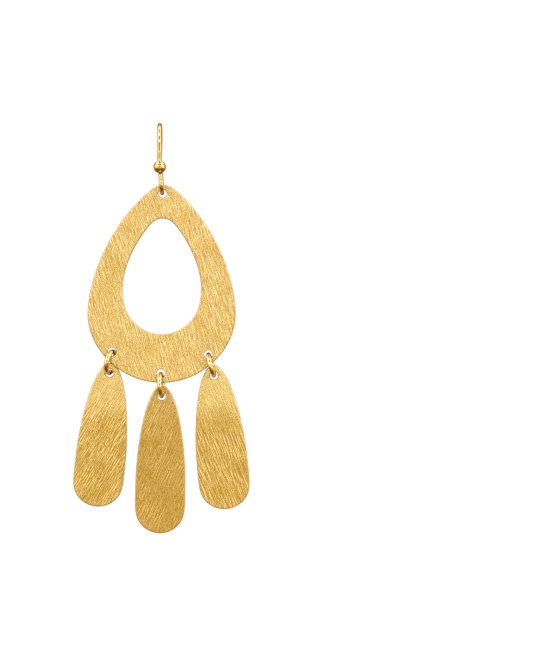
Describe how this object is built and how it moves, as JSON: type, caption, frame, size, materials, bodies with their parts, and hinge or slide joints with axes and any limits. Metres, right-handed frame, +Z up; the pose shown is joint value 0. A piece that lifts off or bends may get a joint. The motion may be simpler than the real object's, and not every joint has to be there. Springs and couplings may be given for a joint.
{
  "type": "chandelier earring",
  "caption": "Chandelier drop earring: an ear wire with a threaded ball carries a pierced flat teardrop, with flat paddle drops on jump rings along its foot.",
  "frame": {"origin": "underside of the ear wire's arch, where it hangs in the ear piercing", "axes": "+Z up, along the hanging length; the earring's face looks towards -Y, and the ear wire bends back in the YZ plane"},
  "size_m": [0.0309, 0.0108, 0.072],
  "materials": {
    "polished_gold": "polished gold plate",
    "brushed_gold": "scratch-brushed satin gold plate"
  },
  "bodies": {
    "ear_wire": {"ear_hook": "polished_gold", "hook_bead": "polished_gold"},
    "teardrop": {"teardrop_frame": "brushed_gold", "ring_left": "polished_gold", "ring_center": "polished_gold", "ring_right": "polished_gold"},
    "left_drop": {"drop_left": "brushed_gold"},
    "center_drop": {"drop_center": "brushed_gold"},
    "right_drop": {"drop_right": "brushed_gold"}
  },
  "joints": [
    {"name": "teardrop_swing", "type": "hinge", "parent": "ear_wire", "child": "teardrop", "pos_m": [0.0005, -0.0036, -0.0116], "axis": [0, 1, 0], "range_deg": [-80, 80]},
    {"name": "left_drop_swing", "type": "hinge", "parent": "teardrop", "child": "left_drop", "pos_m": [-0.00848, -0.00319, -0.04123], "axis": [0.9108, -0.3658, -0.1916], "range_deg": [-8, 60]},
    {"name": "center_drop_swing", "type": "hinge", "parent": "teardrop", "child": "center_drop", "pos_m": [0.00033, -0.0036, -0.04522], "axis": [0.9898, -0.1323, 0.0536], "range_deg": [-60, 60]},
    {"name": "right_drop_swing", "type": "hinge", "parent": "teardrop", "child": "right_drop", "pos_m": [0.00907, -0.00319, -0.04172], "axis": [0.9662, -0.0681, 0.2487], "range_deg": [-35, 60]}
  ]
}
